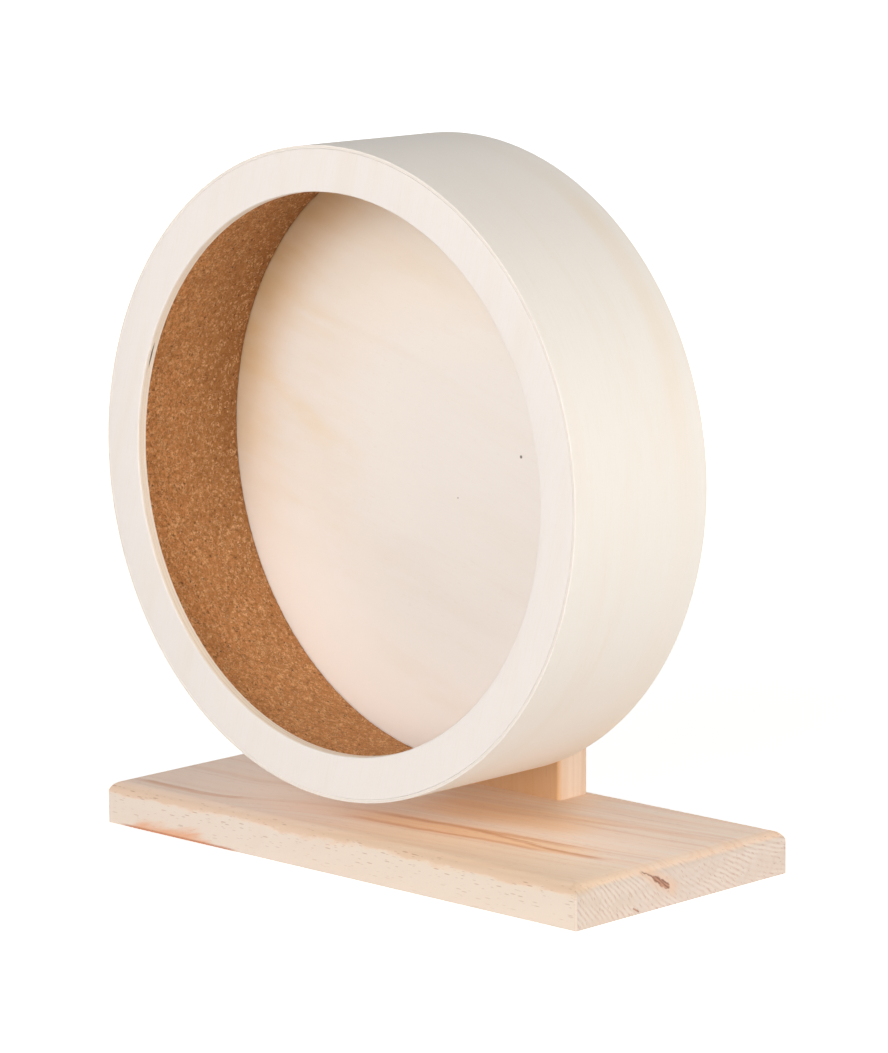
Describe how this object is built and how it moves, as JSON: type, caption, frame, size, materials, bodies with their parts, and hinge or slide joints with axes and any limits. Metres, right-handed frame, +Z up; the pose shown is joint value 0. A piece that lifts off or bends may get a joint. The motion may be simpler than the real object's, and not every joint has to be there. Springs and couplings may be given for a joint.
{
  "type": "rodent exercise wheel",
  "caption": "Wooden rodent exercise wheel: a cork-lined plywood drum, open in front, that spins on a bolt through ball bearings in its hub, carried by a post on a flat base board.",
  "frame": {"origin": "centre of the base board's underside", "axes": "+Z up, +Y along the axle from the open mouth towards the post, +X to the right seen from the mouth"},
  "size_m": [0.284, 0.1387, 0.3125],
  "materials": {
    "plywood": "pale sanded plywood, bare",
    "cork": "granulated cork sheet",
    "pine": "planed pine, bare",
    "hub_wood": "turned hardwood, bare",
    "zinc_plated_steel": "bright zinc plate",
    "bearing_steel": "ground steel",
    "nylon": "natural nylon"
  },
  "bodies": {
    "wheel": {"front_ring": "plywood", "drum_band": "plywood", "cork_lining": "cork", "rear_disc": "plywood", "hub_block": "hub_wood", "hub_screws": "zinc_plated_steel", "front_bearing_outer_ring": "bearing_steel", "front_bearing_shields": "bearing_steel", "rear_bearing_outer_ring": "bearing_steel", "rear_bearing_shields": "bearing_steel"},
    "stand": {"base_board": "pine", "post": "pine", "post_screws": "zinc_plated_steel", "axle_bolt": "zinc_plated_steel", "head_shim": "zinc_plated_steel", "spacer_sleeve": "zinc_plated_steel", "post_front_washer": "zinc_plated_steel", "post_rear_washer": "zinc_plated_steel", "lock_nut": "zinc_plated_steel", "lock_nut_insert": "nylon", "front_bearing_inner_ring": "bearing_steel", "rear_bearing_inner_ring": "bearing_steel"},
    "front_cage": {"front_bearing_cage": "nylon", "front_bearing_balls": "bearing_steel"},
    "rear_cage": {"rear_bearing_cage": "nylon", "rear_bearing_balls": "bearing_steel"}
  },
  "joints": [
    {"name": "wheel_spin", "type": "hinge", "parent": "stand", "child": "wheel", "pos_m": [0, 0, 0.1725], "axis": [0, 1, 0], "continuous": true},
    {"name": "front_cage_orbit", "type": "hinge", "parent": "stand", "child": "front_cage", "pos_m": [0, 0, 0.1725], "axis": [0, 1, 0], "continuous": true},
    {"name": "rear_cage_orbit", "type": "hinge", "parent": "stand", "child": "rear_cage", "pos_m": [0, 0, 0.1725], "axis": [0, 1, 0], "continuous": true}
  ],
  "couplings": [
    {"joint": "front_cage_orbit", "follows": "wheel_spin", "ratio": 0.6298},
    {"joint": "rear_cage_orbit", "follows": "wheel_spin", "ratio": 0.6298}
  ]
}
